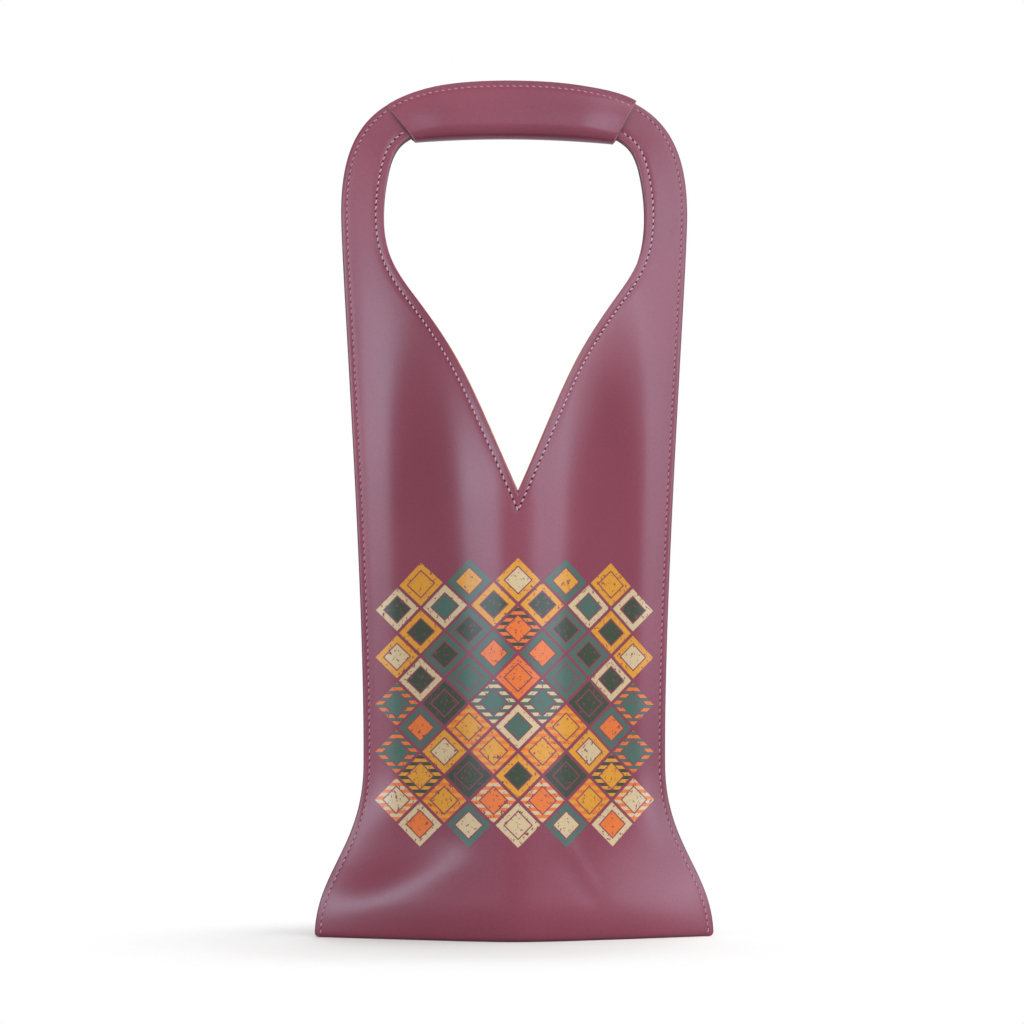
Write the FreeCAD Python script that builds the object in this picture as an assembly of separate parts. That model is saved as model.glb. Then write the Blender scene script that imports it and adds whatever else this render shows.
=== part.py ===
import FreeCAD, Part
import math
import os
from FreeCAD import Vector

# Slim upright carrier, sewn from coated leatherette. A front and a back of the same outline run up
# into one handle loop. Each is backed by a thin lining, and the four layers are sewn together along
# their outer edges. The foot flares, and a lens-shaped base closes it.
# Millimetres. X runs across, Y from front (-) to back (+), Z up from the floor under the middle.

# Outer edge, seen from the front; the loop is measured down from the top
TOTAL_HEIGHT = 405.7
LOOP_WIDTH = 165.6
LOOP_RISE = 63.7
WAIST_WIDTH = 140.8
WAIST_HEIGHT = 79.0
FOOT_WIDTH = 184.8
FLARE_LOWER_SHARE = 0.38
FLARE_UPPER_SHARE = 0.48
SIDE_LOWER_SHARE = 0.33
SIDE_UPPER_SHARE = 0.10
SHOULDER_FULLNESS_SHARE = 0.74

# Opening: a hand hole that runs down into a V-shaped neck
NOTCH_HEIGHT = 203.0
HANDLE_BAND_HEIGHT = 21.7
OPENING_WIDTH = 124.8
NOTCH_LEAN_SHARE = 0.44
OPENING_SHARES = (
    (0.0, 0.0), (0.187, 0.150), (0.481, 0.373), (0.764, 0.530), (0.948, 0.641),
    (1.0, 0.762), (0.968, 0.867), (0.882, 0.942), (0.641, 0.985), (0.0, 1.0),
)

# Depth of the pouch over its outer faces, where it swells and closes, and the shape of its sections:
# drawn taut from a narrow front to the corners at the foot, rounded from the waist up
BODY_DEPTH = 89.6
FOOT_DEPTH = 86.4
FOOT_TUCK = 3.8
FOOT_TUCK_HEIGHT = 17.4
CLOSING_START_HEIGHT = 195.0
CLOSING_END_DROP = 27.0
CLOSING_SOFTNESS_SHARE = 1.1
SEAM_MARGIN = 0.8
ROUND_SOFTNESS_SHARE = 2.2
TAUT_ROUNDING_SHARE = 0.18

# Sheets, from the seam plane outwards
LINING_THICKNESS = 0.8
LEATHERETTE_THICKNESS = 1.2
LAYER_GAP = 0.1

# Padded grip: a wrap folded up round the handle band over a strip of foam
WRAP_TOP_WIDTH = 118.0
WRAP_BOTTOM_WIDTH = 99.0
WRAP_END_DROP = 30.0
WRAP_ARCH = 2.1
WRAP_THICKNESS = 1.2
WRAP_PINCH_DEPTH = 4.6
GRIP_THICKNESS = 12.4
GRIP_ROUND_STEPS = 6
FOAM_TOP_DEPTH = 7.0
FOAM_LENGTH_SHARE = 0.78

# Stitch rows
THREAD_WIDTH = 0.6
THREAD_HEIGHT = 0.35
EDGE_STITCH_INSET = 2.8
NECK_STITCH_INSET = 3.8
NECK_STITCH_STEPS = 15
STITCH_CLEARANCE = 0.6

# Where the sheets and the grip are sectioned, and how far cutting shapes run past what they cut
FLARE_ROW_SHARES = (0.0, 0.12, 0.25, 0.45, 0.7)
SIDE_ROW_SHARES = (0.0, 0.38, 0.49, 0.59, 0.68, 0.77, 0.88, 1.0)
COLUMN_SHARES = (0.0, 0.12, 0.24, 0.36, 0.48, 0.6, 0.72, 0.86, 1.0)
GRIP_SHARES = (0.0, 0.45, 0.75, 0.9, 1.0)
EDGE_STITCH_SHARES = (0.0, 0.15, 0.3, 0.45, 0.6, 0.75, 0.88)
OVERRUN = 4.0

loop_spring_height = TOTAL_HEIGHT - LOOP_RISE
opening_top_height = TOTAL_HEIGHT - HANDLE_BAND_HEIGHT
closing_end_height = TOTAL_HEIGHT - CLOSING_END_DROP
wrap_end_height = TOTAL_HEIGHT - WRAP_END_DROP
lining_near = LAYER_GAP / 2
lining_far = lining_near + LINING_THICKNESS
leather_near = lining_far + LAYER_GAP
leather_far = leather_near + LEATHERETTE_THICKNESS
thread_near = leather_far + LAYER_GAP
body_swell = BODY_DEPTH / 2 - leather_far
foot_swell = FOOT_DEPTH / 2 - leather_far
base_lining_low = LEATHERETTE_THICKNESS + LAYER_GAP
lining_floor = base_lining_low + LINING_THICKNESS + LAYER_GAP
pinch_half = leather_far + LAYER_GAP + WRAP_THICKNESS
wrap_thread_near = pinch_half + LAYER_GAP
grip_half = GRIP_THICKNESS / 2
half_depth = max(BODY_DEPTH, FOOT_DEPTH) / 2


def bezier(*poles):
    curve = Part.BezierCurve()
    curve.setPoles(list(poles))
    return curve


def flare_curve():
    """Right-hand edge of the foot, upright at the floor and again at the waist."""
    foot = FOOT_WIDTH / 2
    waist = WAIST_WIDTH / 2
    return bezier(
        Vector(foot, 0, 0),
        Vector(foot, 0, WAIST_HEIGHT * FLARE_LOWER_SHARE),
        Vector(waist, 0, WAIST_HEIGHT * (1 - FLARE_UPPER_SHARE)),
        Vector(waist, 0, WAIST_HEIGHT),
    )


def side_curve():
    """Right-hand edge from the waist to the widest part of the loop."""
    waist = WAIST_WIDTH / 2
    loop = LOOP_WIDTH / 2
    rise = loop_spring_height - WAIST_HEIGHT
    return bezier(
        Vector(waist, 0, WAIST_HEIGHT),
        Vector(waist, 0, WAIST_HEIGHT + rise * SIDE_LOWER_SHARE),
        Vector(loop, 0, loop_spring_height - rise * SIDE_UPPER_SHARE),
        Vector(loop, 0, loop_spring_height),
    )


def shoulder_curve():
    """Right-hand edge of the loop, from its widest part to the middle of its top."""
    loop = LOOP_WIDTH / 2
    return bezier(
        Vector(loop, 0, loop_spring_height),
        Vector(loop, 0, loop_spring_height + LOOP_RISE * SHOULDER_FULLNESS_SHARE),
        Vector(loop * SHOULDER_FULLNESS_SHARE, 0, TOTAL_HEIGHT),
        Vector(0, 0, TOTAL_HEIGHT),
    )


def shoulder_height(across):
    """Height of the loop's top edge at a distance across from the middle."""
    curve = shoulder_curve()
    outer, inner = 0.0, 1.0
    while inner - outer > 1e-9:
        middle = (outer + inner) / 2
        if curve.value(middle).x > abs(across):
            outer = middle
        else:
            inner = middle
    return curve.value(outer).z


def opening_curve():
    """Right-hand edge of the opening, from the point of the V to the top of the hand hole."""
    half = OPENING_WIDTH / 2
    rise = opening_top_height - NOTCH_HEIGHT
    points = [Vector(half * across, 0, NOTCH_HEIGHT + rise * up) for across, up in OPENING_SHARES]
    curve = Part.BSplineCurve()
    curve.interpolate(
        Points=points,
        InitialTangent=Vector(NOTCH_LEAN_SHARE, 0, 1),
        FinalTangent=Vector(-1, 0, 0),
    )
    return curve


def left_of(shape):
    return shape.mirror(Vector(0, 0, 0), Vector(1, 0, 0))


def back_of(shape):
    return shape.mirror(Vector(0, 0, 0), Vector(0, 1, 0))


def face_of(edges):
    return Part.Face(Part.Wire(Part.__sortEdges__(edges)))


def polygon(points):
    return Part.makePolygon(points + points[:1])


def panel_face():
    """Front outline of a panel, with its opening."""
    right = [flare_curve().toShape(), side_curve().toShape(), shoulder_curve().toShape()]
    left = [left_of(edge) for edge in right]
    floor = Part.makeLine(Vector(-FOOT_WIDTH / 2, 0, 0), Vector(FOOT_WIDTH / 2, 0, 0))
    neck = opening_curve().toShape()
    return face_of(right + left + [floor]).cut(face_of([neck, left_of(neck)]))


def ease(share):
    """Goes from 0 to 1 with a level start and end."""
    share = min(max(share, 0.0), 1.0)
    return share * share * (3 - 2 * share)


def swell(height):
    """How far the middle of a panel stands out from the seam plane."""
    height = max(height, 0.0)
    if height < FOOT_TUCK_HEIGHT:
        return foot_swell - FOOT_TUCK * (1 - height / FOOT_TUCK_HEIGHT) ** 2
    if height < WAIST_HEIGHT:
        rise = (height - FOOT_TUCK_HEIGHT) / (WAIST_HEIGHT - FOOT_TUCK_HEIGHT)
        return foot_swell + (body_swell - foot_swell) * ease(rise)
    closing = (height - CLOSING_START_HEIGHT) / (closing_end_height - CLOSING_START_HEIGHT)
    closing = min(max(closing, 0.0), 1.0)
    return body_swell * (1 - closing * closing) ** CLOSING_SOFTNESS_SHARE


def form(share, height):
    """Shape of a panel's level section, 1 in the middle and 0 at the seam."""
    reach = math.hypot(1, TAUT_ROUNDING_SHARE)
    taut = (reach - math.hypot(share, TAUT_ROUNDING_SHARE)) / (reach - TAUT_ROUNDING_SHARE)
    rounded = (1 - share * share) ** ROUND_SOFTNESS_SHARE
    return taut + (rounded - taut) * ease(height / WAIST_HEIGHT)


def across_points(half, height, depth, past):
    """Points of a panel's level section, from seam to seam."""
    swelling = half - SEAM_MARGIN
    right = [(swelling * share, swell(height) * form(share, height)) for share in COLUMN_SHARES]
    right.append((half + past, 0.0))
    left = [(-across, out) for across, out in reversed(right[1:])]
    return [Vector(across, -depth - out, height) for across, out in left + right]


def sheet(face, near, far):
    """Front layer between two depths from the seam plane, trimmed to an outline."""
    flare = flare_curve()
    side = side_curve()
    edge = [Vector(FOOT_WIDTH / 2, 0, -OVERRUN)]
    edge += [flare.value(share) for share in FLARE_ROW_SHARES]
    edge += [side.value(share) for share in SIDE_ROW_SHARES]
    edge += [Vector(LOOP_WIDTH / 2, 0, closing_end_height)]
    edge += [Vector(LOOP_WIDTH / 2, 0, TOTAL_HEIGHT + OVERRUN)]
    sections = []
    for point in edge:
        inner = across_points(point.x, point.z, near, OVERRUN)
        outer = across_points(point.x, point.z, far, OVERRUN)
        sections.append(polygon(inner + outer[::-1]))
    layer = Part.makeLoft(sections, True, True)
    return layer.common(slab(face, -OVERRUN, half_depth + OVERRUN))


def slab(face, near, far):
    """Flat front layer between two depths from the seam plane."""
    placed = face.copy()
    placed.translate(Vector(0, -near, 0))
    return placed.extrude(Vector(0, near - far, 0))


def block_above(height):
    """Box over the whole carrier, from a height up."""
    across = FOOT_WIDTH / 2 + OVERRUN
    deep = half_depth + OVERRUN
    return Part.makeBox(2 * across, 2 * deep, TOTAL_HEIGHT + OVERRUN - height, Vector(-across, -deep, height))


def base_plate(low, thickness):
    """Lens-shaped plate that fills the foot inside the leatherette, out to its sewn corners."""
    points = across_points(FOOT_WIDTH / 2, 0.0, leather_near - LAYER_GAP, 0.0)[1:-1]
    back = [Vector(point.x, -point.y, 0) for point in reversed(points)]
    plate = Part.Face(polygon(points + back)).extrude(Vector(0, 0, thickness))
    plate.translate(Vector(0, 0, low))
    return plate


def beside(curve, shares, distance):
    """Points at a distance to the right of a curve in the front view."""
    points = []
    for share in shares:
        parameter = curve.FirstParameter + (curve.LastParameter - curve.FirstParameter) * share
        point, along = curve.getD1(parameter)
        along.normalize()
        points.append(point + Vector(along.z, 0, -along.x) * distance)
    return points


def edge_line(inset):
    """Points inside the right-hand outer edge, from the floor to the middle of the loop's top."""
    points = beside(flare_curve(), EDGE_STITCH_SHARES, -inset)
    points += beside(side_curve(), EDGE_STITCH_SHARES, -inset)
    points += beside(shoulder_curve(), EDGE_STITCH_SHARES, -inset)
    return points + [Vector(0, 0, TOTAL_HEIGHT - inset)]


def neck_line(inset):
    """Points outside the right-hand edge of the opening, from below the V upwards."""
    lean = Vector(NOTCH_LEAN_SHARE, 0, 1).normalize()
    below = Vector(0, 0, NOTCH_HEIGHT - inset / lean.x)
    shares = [step / NECK_STITCH_STEPS for step in range(1, NECK_STITCH_STEPS + 1)]
    return [below] + beside(opening_curve(), shares, inset)


def thread_face(line, inset):
    """Strip as wide as a thread, along a line in the right half of the front view."""
    near_points = line(inset - THREAD_WIDTH / 2)
    far_points = line(inset + THREAD_WIDTH / 2)
    return Part.Face(polygon(near_points + far_points[::-1]))


def wrap_area(clearance):
    """Front-view area of the grip wrap, grown by a clearance, as a block through the carrier."""
    low = wrap_end_height - grip_half
    high = TOTAL_HEIGHT + OVERRUN
    end_rise = shoulder_height(WRAP_TOP_WIDTH / 2) - wrap_end_height
    slope = (WRAP_TOP_WIDTH - WRAP_BOTTOM_WIDTH) / 2 / end_rise
    low_half = WRAP_BOTTOM_WIDTH / 2 + slope * (low - wrap_end_height) + clearance
    high_half = WRAP_BOTTOM_WIDTH / 2 + slope * (high - wrap_end_height) + clearance
    corners = [
        Vector(-low_half, 0, low),
        Vector(low_half, 0, low),
        Vector(high_half, 0, high),
        Vector(-high_half, 0, high),
    ]
    return slab(Part.Face(polygon(corners)), -half_depth, half_depth)


def grip_section(position, inside, top_depth):
    """Closed outline across the grip, at a share of its half-length and a depth inside the wrap.

    The wrap is pinched by its stitching along the top, widens down its flanks and turns round below.
    """
    top = Vector(position * WRAP_TOP_WIDTH / 2, 0, shoulder_height(position * WRAP_TOP_WIDTH / 2))
    arch = WRAP_ARCH * (1 - position * position)
    down = Vector(position * WRAP_BOTTOM_WIDTH / 2, 0, wrap_end_height + arch) - top
    round_depth = down.Length - grip_half
    down.normalize()
    depths = [top_depth]
    if top_depth < WRAP_PINCH_DEPTH:
        depths.append(WRAP_PINCH_DEPTH)
    outline = []
    for depth in depths:
        fall = max(depth - WRAP_PINCH_DEPTH, 0.0) / (round_depth - WRAP_PINCH_DEPTH)
        outline.append((pinch_half + (grip_half - pinch_half) * fall - inside, depth))
    lower_left = [(-half, depth) for half, depth in reversed(outline)]
    radius = grip_half - inside
    for step in range(GRIP_ROUND_STEPS + 1):
        turn = math.pi * step / GRIP_ROUND_STEPS
        outline.append((radius * math.cos(turn), round_depth + radius * math.sin(turn)))
    outline += lower_left
    return polygon([top + down * depth + Vector(0, half, 0) for half, depth in outline])


def grip_body(reach, inside, top_depth):
    """Solid along the grip, over a share of its half-length."""
    right = [reach * share for share in GRIP_SHARES]
    positions = [-position for position in reversed(right[1:])] + right
    sections = [grip_section(position, inside, top_depth) for position in positions]
    return Part.makeLoft(sections, True, True)


def handle_wrap():
    cavity_reach = 1 + 2 * OVERRUN / WRAP_TOP_WIDTH
    cavity = grip_body(cavity_reach, WRAP_THICKNESS, -OVERRUN)
    return grip_body(1, 0.0, 0.0).cut(cavity)


def handle_foam():
    foam = grip_body(FOAM_LENGTH_SHARE, WRAP_THICKNESS + LAYER_GAP, FOAM_TOP_DEPTH)
    band = slab(panel_face(), -leather_far - LAYER_GAP, leather_far + LAYER_GAP)
    return foam.cut(band)


def both_sides(right_half):
    return right_half.fuse(left_of(right_half)).removeSplitter()


def write(name, *shapes):
    solids = [solid for shape in shapes for solid in shape.Solids]
    piece = solids[0] if len(solids) == 1 else Part.makeCompound(solids)
    piece.exportStep("parts/" + name + ".step")


os.makedirs("parts", exist_ok=True)

front_leather = sheet(panel_face(), leather_near, leather_far)
write("front_panel", front_leather)
write("back_panel", back_of(front_leather))

front_lining = sheet(panel_face(), lining_near, lining_far).common(block_above(lining_floor))
write("front_lining", front_lining)
write("back_lining", back_of(front_lining))

write("base_panel", base_plate(0.0, LEATHERETTE_THICKNESS))
write("base_lining", base_plate(base_lining_low, LINING_THICKNESS))

write("handle_wrap", handle_wrap())
write("handle_foam", handle_foam())

edge_strip = thread_face(edge_line, EDGE_STITCH_INSET)
side_row = sheet(edge_strip, thread_near, thread_near + THREAD_HEIGHT).cut(wrap_area(STITCH_CLEARANCE))
write("side_thread_right", side_row, back_of(side_row))
write("side_thread_left", left_of(side_row), left_of(back_of(side_row)))

wrap_strip = slab(edge_strip, wrap_thread_near, wrap_thread_near + THREAD_HEIGHT)
wrap_row = both_sides(wrap_strip.common(wrap_area(-STITCH_CLEARANCE)))
write("wrap_thread", wrap_row, back_of(wrap_row))

neck_strip = sheet(thread_face(neck_line, NECK_STITCH_INSET), thread_near, thread_near + THREAD_HEIGHT)
neck_row = both_sides(neck_strip.cut(wrap_area(STITCH_CLEARANCE)))
write("neck_thread_front", neck_row)
write("neck_thread_back", back_of(neck_row))
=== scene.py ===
import itertools
import math

import bmesh
import bpy
import numpy as np
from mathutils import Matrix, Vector, noise


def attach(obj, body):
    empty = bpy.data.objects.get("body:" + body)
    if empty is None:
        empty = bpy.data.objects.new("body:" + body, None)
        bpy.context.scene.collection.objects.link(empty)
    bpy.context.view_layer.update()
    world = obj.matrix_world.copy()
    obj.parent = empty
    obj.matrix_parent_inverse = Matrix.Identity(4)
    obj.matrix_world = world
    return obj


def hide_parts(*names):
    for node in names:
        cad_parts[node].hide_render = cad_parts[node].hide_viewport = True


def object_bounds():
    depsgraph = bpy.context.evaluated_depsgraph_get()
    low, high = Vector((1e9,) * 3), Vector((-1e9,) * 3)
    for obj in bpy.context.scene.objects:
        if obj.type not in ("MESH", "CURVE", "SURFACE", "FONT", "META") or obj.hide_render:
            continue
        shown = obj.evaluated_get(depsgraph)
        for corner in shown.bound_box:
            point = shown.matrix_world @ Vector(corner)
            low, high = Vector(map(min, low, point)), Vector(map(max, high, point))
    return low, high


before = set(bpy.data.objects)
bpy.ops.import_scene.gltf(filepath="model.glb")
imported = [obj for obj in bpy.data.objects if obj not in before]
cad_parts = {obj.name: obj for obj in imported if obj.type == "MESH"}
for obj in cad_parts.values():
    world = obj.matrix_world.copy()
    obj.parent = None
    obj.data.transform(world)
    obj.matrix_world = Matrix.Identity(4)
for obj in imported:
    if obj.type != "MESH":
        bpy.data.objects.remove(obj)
cad_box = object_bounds()
scene = bpy.context.scene


# Camera. A long lens a little over a metre in front of the carrier, near the height of its foot and
# tilted up, so that the upright sides draw together slightly towards the handle. It stands a little to
# the left of the carrier's middle plane.
CAMERA_DISTANCE = 1.13
CAMERA_HEIGHT = 0.075
CAMERA_AIM_X = -0.0012
CAMERA_TURN = math.radians(-2.0)
CAMERA_TILT = math.radians(6.2)
CAMERA_LENS_MM = 84.66
CAMERA_SENSOR_MM = 36.0

camera_data = bpy.data.cameras.new("camera")
camera_data.sensor_width = CAMERA_SENSOR_MM
camera_data.lens = CAMERA_LENS_MM
camera = bpy.data.objects.new("camera", camera_data)
camera.location = (
    CAMERA_AIM_X + CAMERA_DISTANCE * math.sin(CAMERA_TURN),
    -CAMERA_DISTANCE * math.cos(CAMERA_TURN),
    CAMERA_HEIGHT,
)
camera.rotation_euler = (math.pi / 2 + CAMERA_TILT, 0, CAMERA_TURN)
scene.collection.objects.link(camera)
scene.camera = camera


# Front and back panels. Two pieces of coated leatherette cut to one outline, with the handle loop and
# the V neck in one piece with the pouch. They are sewn to each other along their outer edges, swell
# apart over the pouch and turn under in a soft fold at the foot.
FOOT_HALF = cad_box[1].x
TOTAL_HEIGHT = cad_box[1].z
WAIST_HALF = 0.0704
WAIST_HEIGHT = 0.0790
LOOP_HALF = 0.0828
LOOP_SPRING = 0.3420
NOTCH_HEIGHT = 0.2030
NOTCH_LEAN = 0.44
OPENING_TOP = 0.3840
OPENING_HALF = 0.0624
OPENING_SHARES = (
    (0.0, 0.0), (0.187, 0.150), (0.481, 0.373), (0.764, 0.530), (0.948, 0.641),
    (1.0, 0.762), (0.968, 0.867), (0.882, 0.942), (0.641, 0.985), (0.0, 1.0),
)
FLARE_SHARES = (0.38, 0.52)
SIDE_SHARES = (0.33, 0.10)
SHOULDER_SHARE = 0.74
EDGE_STITCH_INSET = 0.0028
NECK_STITCH_INSET = 0.0038


def bezier(p0, p1, p2, p3, steps=300):
    t = np.linspace(0, 1, steps)[:, None]
    p0, p1, p2, p3 = (np.array(p, float) for p in (p0, p1, p2, p3))
    return p0 * (1 - t) ** 3 + 3 * p1 * t * (1 - t) ** 2 + 3 * p2 * t**2 * (1 - t) + p3 * t**3


def spline_through(points, first, last, steps=60):
    """Smooth curve through points, with the directions of its two ends given."""
    points = np.array(points, float)
    span = np.linalg.norm(np.diff(points, axis=0), axis=1)
    count = len(points)
    system = np.zeros((count, count))
    right = np.zeros((count, 2))
    system[0, 0] = system[-1, -1] = 1
    right[0], right[-1] = first, last
    for i in range(1, count - 1):
        system[i, i - 1 : i + 2] = span[i], 2 * (span[i - 1] + span[i]), span[i - 1]
        before = (points[i] - points[i - 1]) / span[i - 1]
        after = (points[i + 1] - points[i]) / span[i]
        right[i] = 3 * (span[i] * before + span[i - 1] * after)
    slopes = np.linalg.solve(system, right)
    curve = []
    for i in range(count - 1):
        t = np.linspace(0, 1, steps, endpoint=i == count - 2)[:, None]
        curve.append(
            points[i] * (2 * t**3 - 3 * t**2 + 1)
            + slopes[i] * span[i] * (t**3 - 2 * t**2 + t)
            + points[i + 1] * (3 * t**2 - 2 * t**3)
            + slopes[i + 1] * span[i] * (t**3 - t**2)
        )
    return np.vstack(curve)


def unit(v):
    v = np.array(v, float)
    return v / np.linalg.norm(v)


def along_length(curve, shares):
    """Points of a curve at shares of its length."""
    length = np.concatenate([[0], np.cumsum(np.linalg.norm(np.diff(curve, axis=0), axis=1))])
    where = np.array(shares) * length[-1]
    return np.stack([np.interp(where, length, curve[:, k]) for k in range(curve.shape[1])], axis=1)


def beside(curve, distance):
    """The curve moved to its right-hand side in the front view."""
    along = np.gradient(curve, axis=0)
    along /= np.linalg.norm(along, axis=1)[:, None]
    return curve + np.stack([along[:, 1], -along[:, 0]], axis=1) * distance


# right-hand outer edge, from the floor to the middle of the loop's top, in the front view (x, z)
side_rise = LOOP_SPRING - WAIST_HEIGHT
loop_rise = TOTAL_HEIGHT - LOOP_SPRING
flare_edge = bezier(
    (FOOT_HALF, 0), (FOOT_HALF, WAIST_HEIGHT * FLARE_SHARES[0]),
    (WAIST_HALF, WAIST_HEIGHT * FLARE_SHARES[1]), (WAIST_HALF, WAIST_HEIGHT),
)
side_edge = bezier(
    (WAIST_HALF, WAIST_HEIGHT), (WAIST_HALF, WAIST_HEIGHT + side_rise * SIDE_SHARES[0]),
    (LOOP_HALF, LOOP_SPRING - side_rise * SIDE_SHARES[1]), (LOOP_HALF, LOOP_SPRING),
)
shoulder_edge = bezier(
    (LOOP_HALF, LOOP_SPRING), (LOOP_HALF, LOOP_SPRING + loop_rise * SHOULDER_SHARE),
    (LOOP_HALF * SHOULDER_SHARE, TOTAL_HEIGHT), (0, TOTAL_HEIGHT),
)
upright_edge = np.vstack([flare_edge, side_edge[1:]])
outer_edge = np.vstack([upright_edge, shoulder_edge[1:]])

# right-hand edge of the opening, and the two stitch rows inside the edges
opening_edge = spline_through(
    [(x * OPENING_HALF, NOTCH_HEIGHT + z * (OPENING_TOP - NOTCH_HEIGHT)) for x, z in OPENING_SHARES],
    unit((NOTCH_LEAN, 1)), (-1, 0),
)
edge_stitch_line = beside(outer_edge, -EDGE_STITCH_INSET)
neck_stitch_line = beside(opening_edge, NECK_STITCH_INSET)
neck_stitch_line = neck_stitch_line[neck_stitch_line[:, 0] >= 0]
below_notch = NOTCH_HEIGHT - NECK_STITCH_INSET / unit((NOTCH_LEAN, 1))[0]
neck_stitch_line = np.vstack([[(0, below_notch)], neck_stitch_line])

BODY_SWELL = 0.04265
FOOT_SWELL = 0.04105
FOOT_TUCK = 0.0038
FOOT_TUCK_HEIGHT = 0.0174
FOOT_FOLD = 0.0022
CLOSING_START = 0.195
CLOSING_END = 0.3787
CLOSING_SOFTNESS = 1.1
ROUND_POWER = 2.3
ROUND_SOFTNESS = 2.4
TAUT_ROUNDING = 0.18
SEAM_MARGIN = 0.0008


def ease(share):
    share = np.clip(share, 0, 1)
    return share * share * (3 - 2 * share)


def swell(z):
    """How far the middle of a panel stands out from the seam plane."""
    tuck = FOOT_SWELL - FOOT_TUCK * (1 - np.clip(z / FOOT_TUCK_HEIGHT, 0, 1)) ** 2
    flare = (z - FOOT_TUCK_HEIGHT) / (WAIST_HEIGHT - FOOT_TUCK_HEIGHT)
    closing = np.clip((z - CLOSING_START) / (CLOSING_END - CLOSING_START), 0, 1)
    body = BODY_SWELL * (1 - closing**2) ** CLOSING_SOFTNESS
    lower = tuck + (BODY_SWELL - FOOT_SWELL) * ease(flare)
    return np.where(z < WAIST_HEIGHT, lower, body)


def fold(z):
    """How far the foot of a panel turns in towards the base."""
    below = np.clip(FOOT_FOLD - z, 0, FOOT_FOLD)
    return FOOT_FOLD - np.sqrt(np.maximum(FOOT_FOLD**2 - below**2, 0))


def bulge(x, z):
    """Distance of the leatherette's swell from the seam plane at a place in the front view."""
    half = np.interp(z, upright_edge[:, 1], upright_edge[:, 0])
    across = np.clip(np.abs(x) / (half - SEAM_MARGIN), 0, 1)
    round_form = (1 - across**ROUND_POWER) ** ROUND_SOFTNESS
    reach = math.hypot(1, TAUT_ROUNDING)
    taut_form = (reach - np.hypot(across, TAUT_ROUNDING)) / (reach - TAUT_ROUNDING)
    share = ease(z / WAIST_HEIGHT)
    return swell(z) * (taut_form + (round_form - taut_form) * share)


def distance_to(curve, x, z, at_once=40):
    """Distance of places from a curve in the right half of the front view, a few of its runs at once."""
    flat = np.stack([np.abs(x).ravel(), z.ravel()], axis=1)[:, None, :]
    near = np.full(len(flat), np.inf)
    starts, runs = curve[:-1], np.diff(curve, axis=0)
    lengths = np.maximum((runs**2).sum(1), np.finfo(float).tiny)
    for k in range(0, len(runs), at_once):
        part = slice(k, k + at_once)
        from_start = flat - starts[None, part]
        share = np.clip((from_start * runs[None, part]).sum(2) / lengths[None, part], 0, 1)
        gap = from_start - runs[None, part] * share[:, :, None]
        near = np.minimum(near, np.linalg.norm(gap, axis=2).min(1))
    return near.reshape(x.shape)


ARM_PUFF = 0.0004
ARM_PUFF_REACH = 0.005
ARM_START = 0.235
ARM_RISE = 0.080
EDGE_GROOVE = 0.00012
EDGE_GROOVE_WIDTH = 0.0008
NECK_GROOVE = 0.00026
NECK_GROOVE_WIDTH = 0.0009
CUT_ROLL = 0.00028
CUT_ROLL_REACH = 0.00035
RIM_ROLL = 0.00028
RIM_ROLL_REACH = 0.0016


def relief(x, z):
    """Fine form of the sewn sheet: grooves along the stitch rows, puffed arms and rolled cut edges."""
    outside = distance_to(outer_edge, x, z)
    inside = distance_to(opening_edge, x, z)
    edge_row = distance_to(edge_stitch_line, x, z)
    neck_row = distance_to(neck_stitch_line, x, z)
    puff = (1 - np.exp(-outside / ARM_PUFF_REACH)) * (1 - np.exp(-inside / ARM_PUFF_REACH))
    form = ARM_PUFF * puff * ease((z - ARM_START) / ARM_RISE)
    form -= EDGE_GROOVE * np.exp(-((edge_row / EDGE_GROOVE_WIDTH) ** 2))
    form -= NECK_GROOVE * np.exp(-((neck_row / NECK_GROOVE_WIDTH) ** 2))
    form -= CUT_ROLL * np.exp(-np.minimum(outside, inside) / CUT_ROLL_REACH)
    return form - RIM_ROLL * np.exp(-outside / RIM_ROLL_REACH)


WAVE_DEPTH = 0.0006
WAVE_WIDTH = 0.070
WAVE_HEIGHT = 0.095
WAVE_EASE = 0.020
CREASE_FADE = 0.3


def waves(x, z, seed):
    """Slow unevenness of the sheet, none at its seams."""
    out = np.zeros(x.shape)
    for k in np.ndindex(x.shape):
        out[k] = noise.noise(Vector((x[k] / WAVE_WIDTH, z[k] / WAVE_HEIGHT, seed)))
    return WAVE_DEPTH * out * np.clip(bulge(x, z) / WAVE_EASE, 0, 1)


def crease(x, z, start, end, height, width):
    """A soft fold along a line in the front view, with a ridge on one side and a valley on the other."""
    run = np.subtract(end, start)
    length = np.linalg.norm(run)
    along = ((x - start[0]) * run[0] + (z - start[1]) * run[1]) / length**2
    off = ((x - start[0]) * run[1] - (z - start[1]) * run[0]) / length / width
    fade = ease(along / CREASE_FADE) * ease((1 - along) / CREASE_FADE)
    return -height * fade * off * np.exp(-(off**2))


FOOT_ROWS = (0, 0.0003, 0.0008, 0.0014, 0.0022, 0.0036, 0.0055, 0.0080, 0.0110)
BODY_START = 0.0145
BODY_ROWS = 64
GAP_BELOW_NOTCH = 0.0016
NOTCH_STEPS = (0.0008, 0.0020, 0.0036)
GAP_ABOVE_NOTCH = 0.0060
NECK_ROWS = 46
LOOP_ROWS = 56


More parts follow.
